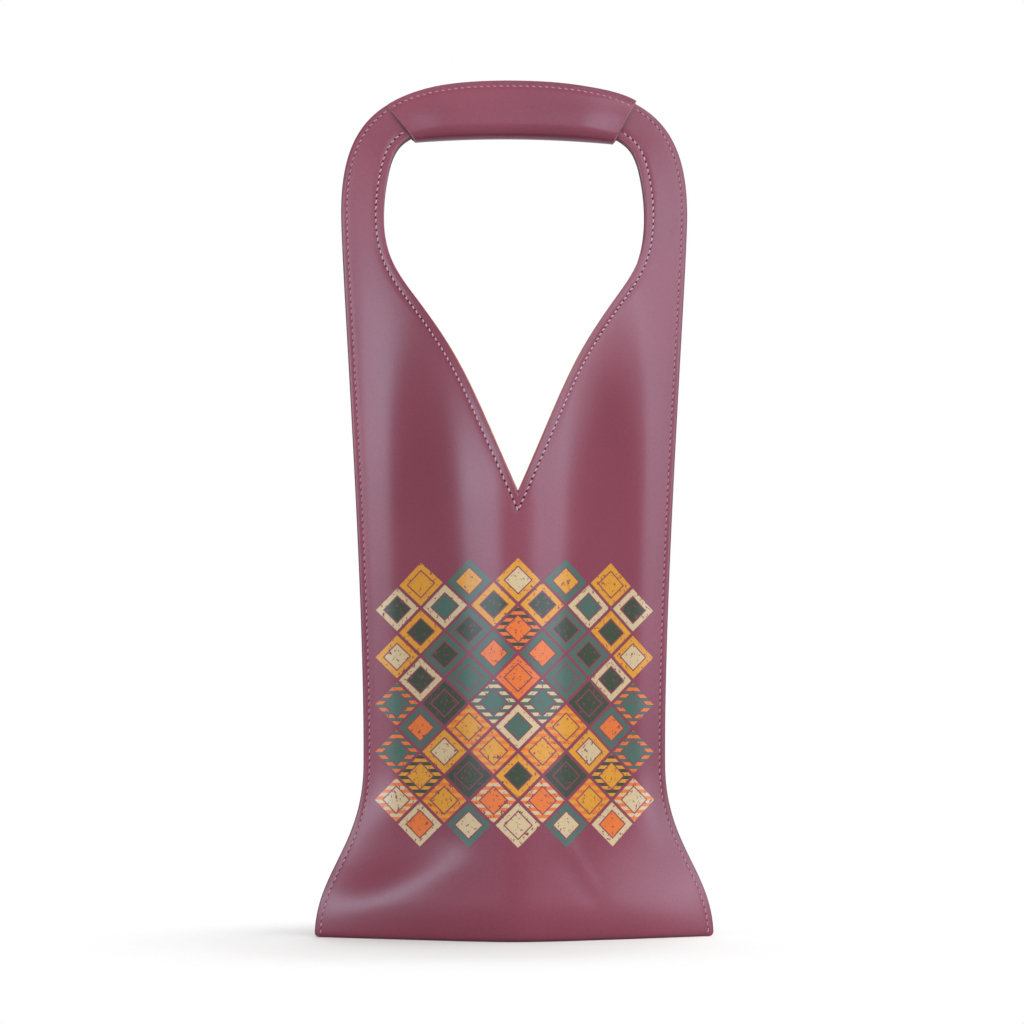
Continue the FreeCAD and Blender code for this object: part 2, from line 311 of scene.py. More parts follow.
def panel_rows():
    """Inner and outer end of each row of the right half, from the foot round to the top of the loop."""
    body = np.linspace(BODY_START, NOTCH_HEIGHT - GAP_BELOW_NOTCH, BODY_ROWS)
    low = np.concatenate([FOOT_ROWS, body, [NOTCH_HEIGHT]])
    arms = np.linspace(NOTCH_HEIGHT + GAP_ABOVE_NOTCH, LOOP_SPRING, NECK_ROWS)
    neck = np.concatenate([NOTCH_HEIGHT + np.array(NOTCH_STEPS), arms])
    heights = np.concatenate([low, neck])
    outer = np.stack([np.interp(heights, upright_edge[:, 1], upright_edge[:, 0]), heights], axis=1)
    outer[:, 0] -= fold(heights)
    open_x = np.interp(neck, opening_edge[:, 1], opening_edge[:, 0])
    inner = np.stack([np.concatenate([np.zeros(len(low)), open_x]), heights], axis=1)
    shares = np.linspace(0, 1, LOOP_ROWS + 1)[1:]
    hand_hole = opening_edge[opening_edge[:, 1] >= LOOP_SPRING]
    hand_hole = np.vstack([[(open_x[-1], LOOP_SPRING)], hand_hole])
    inner = np.vstack([inner, along_length(hand_hole, shares)])
    outer = np.vstack([outer, along_length(shoulder_edge, shares)])
    return inner, outer, len(low) - 1


# the columns of each row lie close together at its two ends, and evenly between
END_COLUMNS = np.array((
    0, 0.0002, 0.0005, 0.0009, 0.0014, 0.0019, 0.00235,
    0.0028, 0.00325, 0.0038, 0.0044, 0.0052, 0.0064, 0.0080,
))
END_SHARE = 0.42
MIDDLE_COLUMNS = 22
row_inner, row_outer, notch_row = panel_rows()
row_length = np.linalg.norm(row_outer - row_inner, axis=1)[:, None]
end_places = np.minimum(1, END_SHARE * row_length / END_COLUMNS[-1]) * END_COLUMNS[None, :]
between = np.linspace(0, 1, MIDDLE_COLUMNS + 2)[None, 1:-1]
middle = end_places[:, -1:] + (row_length - 2 * end_places[:, -1:]) * between
row_places = np.hstack([end_places, middle, row_length - end_places[:, ::-1]])


def on_rows(places):
    """Points of the front view at distances from the inner ends of the rows."""
    return row_inner[:, None, :] + (row_outer - row_inner)[:, None, :] * (places / row_length)[:, :, None]


panel_grid = on_rows(row_places)
grid_x, grid_z = panel_grid[:, :, 0], panel_grid[:, :, 1]
grid_bulge = bulge(grid_x, grid_z)
grid_relief = relief(grid_x, grid_z)

# the knife leans, so the coated face ends a little short of the cut edges and shows a line of backing
NECK_BEVEL = 0.0005
OUTER_BEVEL = 0.0003
BEVEL_REACH = 0.0006
BEVEL_FADE_START = 0.270
BEVEL_FADE = 0.050
neck_bevel = NECK_BEVEL * (1 - ease((row_inner[:, 1] - BEVEL_FADE_START) / BEVEL_FADE))
neck_bevel[:notch_row] = 0
skin_places = row_places + neck_bevel[:, None] * np.exp(-row_places / BEVEL_REACH)
skin_places = skin_places - OUTER_BEVEL * np.exp(-(row_length - row_places) / BEVEL_REACH)
skin_grid = on_rows(skin_places)

FRONT, BACK = -1, 1
RIGHT, LEFT = 1, -1
MERGE_REACH = 1e-7
SHARP_ANGLE = math.radians(50)


def add_face(mesh, corners, finish):
    face = mesh.faces.new(corners)
    face.material_index = finish
    face.smooth = True


def piece_from(name, mesh, crisp=True):
    """A piece of the scene from a finished mesh, its sharp folds kept crisp."""
    data = bpy.data.meshes.new(name)
    mesh.to_mesh(data)
    mesh.free()
    if crisp:
        data.set_sharp_from_angle(angle=SHARP_ANGLE)
    piece = bpy.data.objects.new(name, data)
    scene.collection.objects.link(piece)
    return piece


def fit(piece, node_name, slot, *materials):
    """Gives a piece its finishes and puts it in the place of its solid."""
    for material in materials:
        piece.data.materials.append(material)
    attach(piece, "root")
    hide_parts(node_name)


def sheet_mesh(name, near, far, side, plan, sway, first_row=0):
    """Both halves of a sewn sheet. near and far are grids of depth from the seam plane, side FRONT or BACK.

    plan holds the front-view places of the far face; the near face lies on the panel's own grid. sway
    moves both faces of each half. Finishes: far face, near face, outer edges, edge of the opening.
    """
    mesh = bmesh.new()
    for hand in (RIGHT, LEFT):
        layers = []
        for depth, places in ((far, plan), (near, panel_grid)):
            layers.append([
                [
                    mesh.verts.new((hand * x, side * (y + moved), z))
                    for (x, z), y, moved in zip(places[r], depth[r], sway[hand][r])
                ]
                for r in range(first_row, len(depth))
            ])
        skin, back = layers
        rows, columns = len(skin), len(skin[0])
        order = (0, 3, 2, 1) if hand * side > 0 else (0, 1, 2, 3)

        def patch(*corners, finish):
            add_face(mesh, [corners[k] for k in order], finish)

        for r in range(rows - 1):
            for c in range(columns - 1):
                patch(skin[r][c], skin[r][c + 1], skin[r + 1][c + 1], skin[r + 1][c], finish=0)
                patch(back[r][c + 1], back[r][c], back[r + 1][c], back[r + 1][c + 1], finish=1)
            patch(skin[r][-1], back[r][-1], back[r + 1][-1], skin[r + 1][-1], finish=2)
            if r + first_row >= notch_row:
                patch(back[r][0], skin[r][0], skin[r + 1][0], back[r + 1][0], finish=3)
        for c in range(columns - 1):
            patch(skin[0][c + 1], skin[0][c], back[0][c], back[0][c + 1], finish=2)
    middle_line = [v for v in mesh.verts if abs(v.co.x) < MERGE_REACH]
    bmesh.ops.remove_doubles(mesh, verts=middle_line, dist=MERGE_REACH)
    return piece_from(name, mesh)


def finish_tree(name):
    """A new material with its node tree, its surface shader and the place on the object in metres."""
    material = bpy.data.materials.new(name)
    material.use_nodes = True
    tree = material.node_tree
    place = tree.nodes.new("ShaderNodeTexCoord").outputs["Object"]
    return material, tree, tree.nodes["Principled BSDF"], place


def node(tree, kind, inputs=(), **settings):
    made = tree.nodes.new(kind)
    for key, value in settings.items():
        setattr(made, key, value)
    for key, value in dict(inputs).items():
        if isinstance(value, bpy.types.NodeSocket):
            tree.links.new(value, made.inputs[key])
        else:
            made.inputs[key].default_value = value
    return made


def speckle(tree, place, size, detail=2.0, roughness=0.5):
    """Noise of about that grain size in metres."""
    inputs = {"Vector": place, "Scale": 1 / size, "Detail": detail, "Roughness": roughness}
    return node(tree, "ShaderNodeTexNoise", inputs).outputs["Fac"]


def cells(tree, place, size):
    """Close-set round cells of about that size in metres."""
    return node(tree, "ShaderNodeTexVoronoi", {"Vector": place, "Scale": 1 / size}).outputs["Distance"]


def ramp(tree, value, stops, interpolation="LINEAR"):
    """Colours, or greys from single numbers, along a value."""
    made = node(tree, "ShaderNodeValToRGB", {"Fac": value})
    made.color_ramp.interpolation = interpolation
    elements = made.color_ramp.elements
    while len(elements) < len(stops):
        elements.new(0.5)
    for element, (position, colour) in zip(elements, stops):
        element.position = position
        element.color = (*colour, 1) if hasattr(colour, "__len__") else (colour, colour, colour, 1)
    return made.outputs["Color"]


def mix(tree, share, first, second):
    inputs = {"Factor": share, "A": first, "B": second}
    made = node(tree, "ShaderNodeMix", (), data_type="RGBA")
    for socket in made.inputs:
        if socket.name in inputs and socket.type == ("VALUE" if socket.name == "Factor" else "RGBA"):
            value = inputs[socket.name]
            if isinstance(value, bpy.types.NodeSocket):
                tree.links.new(value, socket)
            else:
                socket.default_value = value if socket.name == "Factor" else (*value, 1)
    return [s for s in made.outputs if s.type == "RGBA"][0]


def bump(tree, height, distance, strength):
    inputs = {"Height": height, "Distance": distance, "Strength": strength}
    return node(tree, "ShaderNodeBump", inputs).outputs["Normal"]


def darker(colour, share):
    return tuple(share * c for c in colour)


LEATHER_DEEP = (0.232, 0.046, 0.078)
LEATHER_LIGHT = (0.274, 0.058, 0.095)
LEATHER_FLECK = (0.10, 0.012, 0.030)
LEATHER_GLOSS_TINT = (0.64, 0.82, 1.0, 1)
LEATHER_CLOUD = 0.055
LEATHER_FLECK_SIZE = 0.0011
LEATHER_GRAIN = 1 / 1150
LEATHER_GRAIN_DEPTH = 0.00003


def leatherette(name, print_on=None):
    """Burgundy-rose coated leatherette: fine grain, slow colour shifts and a satin coat."""
    material, tree, shader, place = finish_tree(name)
    cloudy = speckle(tree, place, LEATHER_CLOUD, 1.0)
    flecks = speckle(tree, place, LEATHER_FLECK_SIZE)
    colour = ramp(tree, cloudy, ((0.30, LEATHER_DEEP), (0.72, LEATHER_LIGHT)))
    colour = mix(tree, ramp(tree, flecks, ((0.35, 0.0), (0.75, 0.16))), colour, LEATHER_FLECK)
    if print_on:
        colour = print_on(tree, place, colour)
    tree.links.new(colour, shader.inputs["Base Color"])
    grain = cells(tree, place, LEATHER_GRAIN)
    tree.links.new(bump(tree, grain, LEATHER_GRAIN_DEPTH, 0.4), shader.inputs["Normal"])
    shader.inputs["Roughness"].default_value = 0.28
    shader.inputs["Specular IOR Level"].default_value = 0.62
    shader.inputs["Specular Tint"].default_value = LEATHER_GLOSS_TINT
    return material


LOOP_TONE_START = 0.265
LOOP_TONE_END = 0.315
WORN_SPOT = 0.0016
WORN_DEPTH = 0.00015


def cut_edge(name, colour, loop_colour=None):
    """Raw cut edge of a sheet: the coat over a paler backing, with another tone up on the loop if given."""
    material, tree, shader, place = finish_tree(name)
    worn = speckle(tree, place, WORN_SPOT, 3.0)
    tone = ramp(tree, worn, ((0.3, darker(colour, 0.62)), (0.7, colour)))
    if loop_colour:
        height = node(tree, "ShaderNodeSeparateXYZ", {0: place}).outputs["Z"]
        inputs = {"Value": height, "From Min": LOOP_TONE_START, "From Max": LOOP_TONE_END}
        tone = mix(tree, node(tree, "ShaderNodeMapRange", inputs).outputs[0], tone, loop_colour)
    tree.links.new(tone, shader.inputs["Base Color"])
    tree.links.new(bump(tree, worn, WORN_DEPTH, 0.6), shader.inputs["Normal"])
    shader.inputs["Roughness"].default_value = 0.8
    return material


NAP_SIZE = 0.0009
NAP_DEPTH = 0.00022
NAP_PATCH = 0.030


def brushed_backing(name, colour):
    """Short brushed nap of a backing cloth."""
    material, tree, shader, place = finish_tree(name)
    nap = speckle(tree, place, NAP_SIZE, 4.0, 0.65)
    patchy = speckle(tree, place, NAP_PATCH, 3.0)
    tone = ramp(tree, patchy, ((0.3, darker(colour, 0.72)), (0.7, colour)))
    tone = mix(tree, ramp(tree, nap, ((0.35, 0.0), (0.7, 0.30))), tone, darker(colour, 0.5))
    tree.links.new(tone, shader.inputs["Base Color"])
    tree.links.new(bump(tree, nap, NAP_DEPTH, 0.7), shader.inputs["Normal"])
    shader.inputs["Roughness"].default_value = 0.92
    shader.inputs["Sheen Weight"].default_value = 0.25
    return material


# the print: diamonds of one tile each, measured in tiles, with rim 0 at a diamond's middle and 0.5 between
PRINT_TILE = 0.022
PRINT_TILES = 6
PRINT_LOW = 0.041
PRINT_CORNER = 1.62
PRINT_MARGIN = 0.25
PRINT_RIM = 0.455
PRINT_CORE = 0.27
PRINT_LINE = 0.285
PRINT_LINE_HALF = 0.018
PRINT_BARS = 7.0
PRINT_BARRED = 0.55
PRINT_WEAR_SIZE = 0.0016
PRINT_WEAR = 0.60
PRINT_COVER = 0.94
PRINT_OUTER_DRAW = 3.0
PRINT_INNER_DRAW = 8.0
PRINT_INKS = (
    (0.74, 0.34, 0.025), (0.055, 0.15, 0.115), (0.66, 0.53, 0.31),
    (0.80, 0.19, 0.028), (0.032, 0.066, 0.034),
)


def calc(tree, operation, first, second=0.0):
    return node(tree, "ShaderNodeMath", {0: first, 1: second}, operation=operation).outputs[0]


def ink(tree, cell, draw):
    """A draw for each diamond of the print, and the ink that it gives."""
    inputs = {"Vector": cell, "W": draw}
    chance = node(tree, "ShaderNodeTexWhiteNoise", inputs, noise_dimensions="4D").outputs["Value"]
    stops = [(k / len(PRINT_INKS), colour) for k, colour in enumerate(PRINT_INKS)]
    return chance, ramp(tree, chance, stops, "CONSTANT")


def diamond_print(tree, place, ground):
    """A worn quilt of diamonds in two tones on the front, the same on both sides of its middle."""
    spot = node(tree, "ShaderNodeSeparateXYZ", {0: place}).outputs
    across = calc(tree, "DIVIDE", calc(tree, "ABSOLUTE", spot["X"]), PRINT_TILE)
    up = calc(tree, "DIVIDE", calc(tree, "SUBTRACT", spot["Z"], PRINT_LOW), PRINT_TILE)
    rising, falling = calc(tree, "ADD", up, across), calc(tree, "SUBTRACT", up, across)
    first, second = calc(tree, "FLOOR", rising), calc(tree, "FLOOR", falling)
    from_middle = [
        calc(tree, "ABSOLUTE", calc(tree, "SUBTRACT", calc(tree, "FRACT", line), 0.5))
        for line in (rising, falling)
    ]
    rim = calc(tree, "MAXIMUM", *from_middle)
    cell = node(tree, "ShaderNodeCombineXYZ", {0: first, 1: second}).outputs[0]
    outer_draw, outer_ink = ink(tree, cell, PRINT_OUTER_DRAW)
    _, inner_ink = ink(tree, cell, PRINT_INNER_DRAW)
    bars = calc(tree, "GREATER_THAN", calc(tree, "FRACT", calc(tree, "MULTIPLY", up, PRINT_BARS)), 0.5)
    bars = calc(tree, "MULTIPLY", bars, calc(tree, "GREATER_THAN", outer_draw, PRINT_BARRED))
    core = calc(tree, "LESS_THAN", rim, PRINT_CORE)
    colour = mix(tree, bars, outer_ink, inner_ink)
    colour = mix(tree, core, colour, inner_ink)
    from_line = calc(tree, "ABSOLUTE", calc(tree, "SUBTRACT", rim, PRINT_LINE))
    line = calc(tree, "LESS_THAN", from_line, PRINT_LINE_HALF)
    covered = calc(tree, "LESS_THAN", rim, PRINT_RIM)
    covered = calc(tree, "MULTIPLY", covered, calc(tree, "SUBTRACT", 1.0, line))
    middle_up = calc(tree, "MULTIPLY", calc(tree, "ADD", calc(tree, "ADD", first, second), 1.0), 0.5)
    middle_across = calc(tree, "MULTIPLY", calc(tree, "SUBTRACT", first, second), 0.5)
    reach = PRINT_TILES / 2
    rise = calc(tree, "ABSOLUTE", calc(tree, "SUBTRACT", middle_up, reach))
    inside = calc(tree, "LESS_THAN", calc(tree, "MAXIMUM", rise, middle_across), reach - PRINT_MARGIN)
    corner = calc(tree, "LESS_THAN", calc(tree, "ADD", rise, middle_across), reach * PRINT_CORNER)
    inside = calc(tree, "MULTIPLY", inside, corner)
    worn = calc(tree, "LESS_THAN", speckle(tree, place, PRINT_WEAR_SIZE, 4.0, 0.7), PRINT_WEAR)
    share = calc(tree, "MULTIPLY", calc(tree, "MULTIPLY", covered, inside), worn)
    return mix(tree, calc(tree, "MULTIPLY", share, PRINT_COVER), ground, colour)


LEATHER_NEAR = 0.00095
LEATHER_FAR = 0.00215
BACKING_ROSE = (0.20, 0.085, 0.105)
NECK_EDGE_TAN = (0.56, 0.25, 0.15)
NECK_EDGE_PLUM = (0.15, 0.045, 0.065)
OUTER_EDGE_GREY = (0.13, 0.095, 0.105)
FRONT_WAVE_SEED = 2.3
BACK_WAVE_SEED = 7.9
# start and end in the front view, height and width of each soft fold at the foot
FOOT_CREASES = (
    ((-0.008, 0.0462), (-0.090, 0.0168), 0.0011, 0.0115),
    ((0.019, 0.0460), (0.040, 0.0130), 0.0011, 0.0050),
)

panel_leather = leatherette("panel_leatherette")
printed_leather = leatherette("printed_leatherette", diamond_print)
panel_backing = brushed_backing("panel_backing", BACKING_ROSE)
neck_edge = cut_edge("neck_cut_edge", NECK_EDGE_TAN, NECK_EDGE_PLUM)
# the outer cut edges of the panels and the rim of the base are coloured dark grey
dark_grey_outer_edge = cut_edge("dark_grey_outer_edge", OUTER_EDGE_GREY)
sways = {}
for name, node_name, side, seed, face, creases in (
    ("leather_front", "front_panel", FRONT, FRONT_WAVE_SEED, printed_leather, FOOT_CREASES),
    ("leather_back", "back_panel", BACK, BACK_WAVE_SEED, panel_leather, ()),
):
    sways[name] = dict.fromkeys((RIGHT, LEFT), waves(grid_x, grid_z, seed))
    for hand, crease_line in itertools.product((RIGHT, LEFT), creases):
        sways[name][hand] = sways[name][hand] + crease(hand * grid_x, grid_z, *crease_line)
    outside = LEATHER_FAR + grid_bulge + grid_relief - np.minimum(fold(grid_z), grid_bulge)
    inside = np.maximum(outside - (LEATHER_FAR - LEATHER_NEAR) - grid_relief, LEATHER_NEAR)
    piece = sheet_mesh(name, inside, outside, side, skin_grid, sways[name])
    fit(piece, node_name, "leatherette", face, panel_backing, dark_grey_outer_edge, neck_edge)


# Linings. A thin brushed backing sheet lies inside each panel, cut to the same outline. It is caught in
# the edge seam and in the row along the V neck, and stops just above the floor of the pouch.
LINING_NEAR = 0.00005
LINING_FAR = 0.00085
LINING_FIRST_ROW = 5
LINING_ROSE = (0.235, 0.115, 0.135)
LINING_EDGE_BEIGE = (0.40, 0.26, 0.24)

lining_cloth = brushed_backing("lining_cloth", LINING_ROSE)
lining_edge = cut_edge("lining_cut_edge", LINING_EDGE_BEIGE)
for name, node_name, panel, side in (
    ("lining_front", "front_lining", "leather_front", FRONT),
    ("lining_back", "back_lining", "leather_back", BACK),
):
    near, far = LINING_NEAR + grid_bulge, LINING_FAR + grid_bulge
    piece = sheet_mesh(name, near, far, side, panel_grid, sways[panel], LINING_FIRST_ROW)
    fit(piece, node_name, "lining", lining_cloth, lining_cloth, lining_edge, lining_edge)


# Base and its lining. A lens of leatherette closes the foot between the two panels, with a brushed sheet
# of the same shape on top of it. Both lie flat, and their rims tuck into the fold of the panels.
BASE_HALF_LENGTH = 0.0885
BASE_RIM = 0.0024
BASE_TIP_HALF = 0.0004
BASE_LOW = 0.0002
BASE_THICKNESS = 0.0010
BASE_LINING_LOW = 0.0016
BASE_LINING_THICKNESS = 0.0007
BASE_SAG = 0.0004
BASE_WAVE_DEPTH = 0.0002
BASE_WAVE_SPAN = 0.03
BASE_WAVE_SEED = 4.2
BASE_LENGTH_STEPS = 96
BASE_WIDTH_STEPS = 28


def lens_mesh(name, low, thickness):
    """Lens-shaped sheet with its middle a little above its rim. Finishes: below, above, rim."""
    mesh = bmesh.new()
    layers = []
    for top in (0, 1):
        rows = []
        for i in range(BASE_LENGTH_STEPS + 1):
            along = -math.cos(math.pi * i / BASE_LENGTH_STEPS)
            x = BASE_HALF_LENGTH * along
            half = float(LINING_FAR + bulge(np.array(x), np.array(0.0))) - BASE_RIM
            half = max(half, BASE_TIP_HALF)
            row = []
            for j in range(BASE_WIDTH_STEPS + 1):
                across = math.sin(math.pi * (j / BASE_WIDTH_STEPS - 0.5))
                y = across * half
                place = Vector((x / BASE_WAVE_SPAN, y / BASE_WAVE_SPAN, BASE_WAVE_SEED + top))
                rise = BASE_SAG * (1 - across**2) * (1 - along**2)
                rise += BASE_WAVE_DEPTH * noise.noise(place)
                row.append(mesh.verts.new((x, y, low + thickness * top + max(rise, 0))))
            rows.append(row)
        layers.append(rows)
    under, over = layers
    for i in range(BASE_LENGTH_STEPS):
        for j in range(BASE_WIDTH_STEPS):
            add_face(mesh, (under[i][j], under[i][j + 1], under[i + 1][j + 1], under[i + 1][j]), 0)
            add_face(mesh, (over[i][j], over[i + 1][j], over[i + 1][j + 1], over[i][j + 1]), 1)
        add_face(mesh, (under[i][0], under[i + 1][0], over[i + 1][0], over[i][0]), 2)
        add_face(mesh, (under[i + 1][-1], under[i][-1], over[i][-1], over[i + 1][-1]), 2)
    for j in range(BASE_WIDTH_STEPS):
        add_face(mesh, (under[0][j + 1], under[0][j], over[0][j], over[0][j + 1]), 2)
        add_face(mesh, (under[-1][j], under[-1][j + 1], over[-1][j + 1], over[-1][j]), 2)
    return piece_from(name, mesh)


base = lens_mesh("base_leather", BASE_LOW, BASE_THICKNESS)
fit(base, "base_panel", "leatherette", panel_leather, panel_backing, dark_grey_outer_edge)
base_cloth = lens_mesh("base_cloth", BASE_LINING_LOW, BASE_LINING_THICKNESS)
fit(base_cloth, "base_lining", "lining", lining_cloth, lining_cloth, lining_edge)


# Grip. A strip of foam is laid round the handle band, and a separate strip of leatherette is folded up
# round both. Its two raw edges lie along the top of the loop and are caught in the top seam; its slanted
# ends are left open and lie close to the arms.
WRAP_TOP_HALF = 0.0582
WRAP_LEFT_EXTRA = 0.0036
WRAP_BOTTOM_HALF = 0.0476
WRAP_END_HEIGHT = 0.3757
WRAP_ARCH = 0.0021
WRAP_THICKNESS = 0.0012
PINCH_HALF = 0.00345
FILL_START = 0.0022
TOP_GROOVE = 0.00022
TOP_GROOVE_WIDTH = 0.0009
GRIP_HALF = 0.0062
GRIP_END_HALF = 0.0049
GRIP_TAPER_SHARE = 0.62
PROUD_ENDS = (-0.0005, 0.0009)
PROUD_SHARE = 0.55
PROUD_DEPTH = 0.012
FOAM_SHARE = 0.78
FOAM_TOP_DEPTH = 0.0070
FOAM_CELL = 1 / 1600
FOAM_CELL_DEPTH = 0.0002
FOAM_GREY = (0.45, 0.44, 0.40)
FOAM_PALE = (0.62, 0.61, 0.57)
# the wrap's cut edges are pale pink: partly their own colour, partly a painted highlight where the edges
# catch the light
WRAP_EDGE_PINK_HIGHLIGHT = (0.50, 0.25, 0.31)
BAND_CLEARANCE = 0.0002
GRIP_SECTIONS = 80
FLANK_STEPS = 22
ROUND_STEPS = 18


def towards_end(position, start):
    """0 up to a share of the grip's half-length, and smoothly up to 1 at its end."""
    return float(ease((abs(position) - start) / (1 - start)))


def grip_frame(position):
    """Top point, downward direction and depth of the grip at a share of its half-length."""
    rising = shoulder_edge[::-1]
    across = position * (WRAP_TOP_HALF + WRAP_LEFT_EXTRA * float(ease(-position)))
    height = float(np.interp(abs(across), rising[:, 0], rising[:, 1]))
    top = np.array((across, height))
    foot = np.array((position * WRAP_BOTTOM_HALF, WRAP_END_HEIGHT + WRAP_ARCH * (1 - position**2)))
    depth = float(np.linalg.norm(foot - top))
    return top, (foot - top) / depth, depth


def grip_half(position):
    return GRIP_HALF + (GRIP_END_HALF - GRIP_HALF) * towards_end(position, GRIP_TAPER_SHARE)


def flank(depth, round_depth, half):
    """Half-thickness of the wrap down its flank: pinched by the top seam, then filled out by the foam."""
    share = min(max((depth - FILL_START) / (round_depth - FILL_START), 0.0), 1.0)
    filled = 1 - (1 - share) ** 3
    groove = TOP_GROOVE * math.exp(-(((depth - EDGE_STITCH_INSET) / TOP_GROOVE_WIDTH) ** 2))
    return PINCH_HALF + (half - PINCH_HALF) * filled - groove


def wrap_outline(position, inside):
    """Points across the grip, from the front top edge round below to the back top edge, as (y, depth)."""
    _, _, depth = grip_frame(position)
    half = grip_half(position)
    round_depth = depth - half
    front = []
    for step in range(FLANK_STEPS):
        down = round_depth * step / FLANK_STEPS
        front.append((-(flank(down, round_depth, half) - inside), down))
    below = []
    for step in range(ROUND_STEPS + 1):
        turn = math.pi * step / ROUND_STEPS
        radius = half - inside
        below.append((-radius * math.cos(turn), round_depth + radius * math.sin(turn)))
    back = [(-y, down) for y, down in reversed(front)]
    return front + below + back


def wrap_outlines(position):
    """Outer and inner points across the wrap."""
    return wrap_outline(position, 0.0), wrap_outline(position, WRAP_THICKNESS)


def foam_outlines(position):
    """Outer and inner points across the foam, which fills the wrap up to the sewn band."""
    _, _, depth = grip_frame(position)
    under_wrap = wrap_outline(position, WRAP_THICKNESS + BAND_CLEARANCE)
    full = [(y, down) for y, down in under_wrap if down >= FOAM_TOP_DEPTH]
    band = LEATHER_FAR + BAND_CLEARANCE
    deepest = min(TOTAL_HEIGHT - OPENING_TOP + BAND_CLEARANCE, depth - grip_half(position))
    inner = [(math.copysign(min(band, abs(y)), y), min(down, deepest)) for y, down in full]
    return full, inner


foam_positions = np.linspace(-FOAM_SHARE, FOAM_SHARE, GRIP_SECTIONS // 2)
foam_points = min(len(foam_outlines(position)[0]) for position in foam_positions)


def even_foam(position):
    """The foam's outlines with as many points at every position."""
    shares = np.linspace(0, 1, foam_points)
    return [along_length(np.array(outline), shares) for outline in foam_outlines(position)]


def tube_mesh(name, positions, outlines, proud=(0.0, 0.0), bevel=0.0):
    """Open tube along the grip between an outer and an inner outline, its ends proud of the loop.

    With a bevel, the outer face stops short of the ends. Finishes: outer face, inner face, cut edges.
    """
    mesh = bmesh.new()
    rings = []
    for position in positions:
        top, down, _ = grip_frame(position)
        lift = proud[int(position > 0)] * towards_end(position, PROUD_SHARE)
        from_end = (1 - abs(position)) * WRAP_TOP_HALF
        short = math.copysign(bevel, position) * math.exp(-from_end / BEVEL_REACH)
        ring = []
        for outline, step_in in zip(outlines(position), (short, 0.0)):
            loop = []
            for y, depth in outline:
                near_edge = max(0.0, 1 - depth / PROUD_DEPTH)
                place = top + down * (depth - lift * near_edge)
                loop.append(mesh.verts.new((place[0] - step_in, y, place[1])))
            ring.append(loop)
        rings.append(ring)
    count = len(rings[0][0])
    for first, second in zip(rings, rings[1:]):
        for k in range(count - 1):
            add_face(mesh, (first[0][k], first[0][k + 1], second[0][k + 1], second[0][k]), 0)
            add_face(mesh, (first[1][k + 1], first[1][k], second[1][k], second[1][k + 1]), 1)
        add_face(mesh, (first[0][0], second[0][0], second[1][0], first[1][0]), 2)
        add_face(mesh, (second[0][-1], first[0][-1], first[1][-1], second[1][-1]), 2)
    (left_outer, left_inner), (right_outer, right_inner) = rings[0], rings[-1]
    for k in range(count - 1):
        add_face(mesh, (left_outer[k + 1], left_outer[k], left_inner[k], left_inner[k + 1]), 2)
        add_face(mesh, (right_outer[k], right_outer[k + 1], right_inner[k + 1], right_inner[k]), 2)
    bmesh.ops.recalc_face_normals(mesh, faces=mesh.faces)
    return piece_from(name, mesh)


foam_body, foam_tree, foam_shader, foam_place = finish_tree("handle_foam_cells")
foam_cells = cells(foam_tree, foam_place, FOAM_CELL)
foam_tone = ramp(foam_tree, foam_cells, ((0.1, FOAM_GREY), (0.7, FOAM_PALE)))
foam_tree.links.new(foam_tone, foam_shader.inputs["Base Color"])
foam_tree.links.new(bump(foam_tree, foam_cells, FOAM_CELL_DEPTH, 0.6), foam_shader.inputs["Normal"])
foam_shader.inputs["Roughness"].default_value = 0.95
foam = tube_mesh("grip_foam", foam_positions, even_foam)
fit(foam, "handle_foam", "foam", foam_body, foam_body, foam_body)

wrap_leather = leatherette("wrap_leatherette")
# the wrap's cut edges, made pale as a painted highlight on top of their own pink
wrap_edge_highlight = cut_edge("wrap_cut_edge_highlight", WRAP_EDGE_PINK_HIGHLIGHT)
wrap_positions = -np.cos(np.linspace(0, math.pi, GRIP_SECTIONS + 1))
wrap = tube_mesh("grip_wrap", wrap_positions, wrap_outlines, PROUD_ENDS, NECK_BEVEL)
fit(wrap, "handle_wrap", "leatherette", wrap_leather, panel_backing, wrap_edge_highlight)


# Stitch rows. Pale rose thread in lock stitch: short slightly slanted stitches that dip into a needle hole
# at each end. One row runs up each side through all layers, one along the top of the wrap, and one round
# the V neck and the hand hole of each panel.
STITCH_PITCH = 0.0031
STITCH_REACH = 0.00105
STITCH_HALF_WIDTH = 0.00036
STITCH_HALF_HEIGHT = 0.00030
STITCH_LIFT = 0.00014
STITCH_DIP = 0.00034
STITCH_SLANT = math.radians(15)
STITCH_AHEAD_SHARE = 0.12
STITCH_TIP = 0.10
STITCH_RINGS = 7
STITCH_SIDES = 8
PLY_SIZE = 0.0004
PLY_DEPTH = 0.0001
# the needle holes are drawn as dark spots of painted shade, laid just above the leather between the
# stitches
HOLE_SIDES = 10
HOLE_RIM_LIFT = 0.00004
HOLE_MIDDLE_LIFT = 0.00007
HOLE_SPOT = 0.0008
NECK_HOLE_REACH = (0.00056, 0.00046)
SEAM_HOLE_REACH = (0.00040, 0.00034)
NECK_THREAD = ((0.50, 0.27, 0.35), (0.68, 0.44, 0.52))
NECK_HOLE_SHADE = ((0.022, 0.003, 0.007), (0.050, 0.008, 0.015))
SEAM_THREAD = ((0.40, 0.18, 0.24), (0.50, 0.265, 0.335))
SEAM_HOLE_SHADE = ((0.085, 0.014, 0.026), (0.13, 0.024, 0.042))


def panel_depth(line):
    """Depth of the panel's face from the seam plane along a line in the front view."""
    x, z = line[:, 0], line[:, 1]
    return LEATHER_FAR + bulge(x, z) + relief(x[None, :], z[None, :])[0]


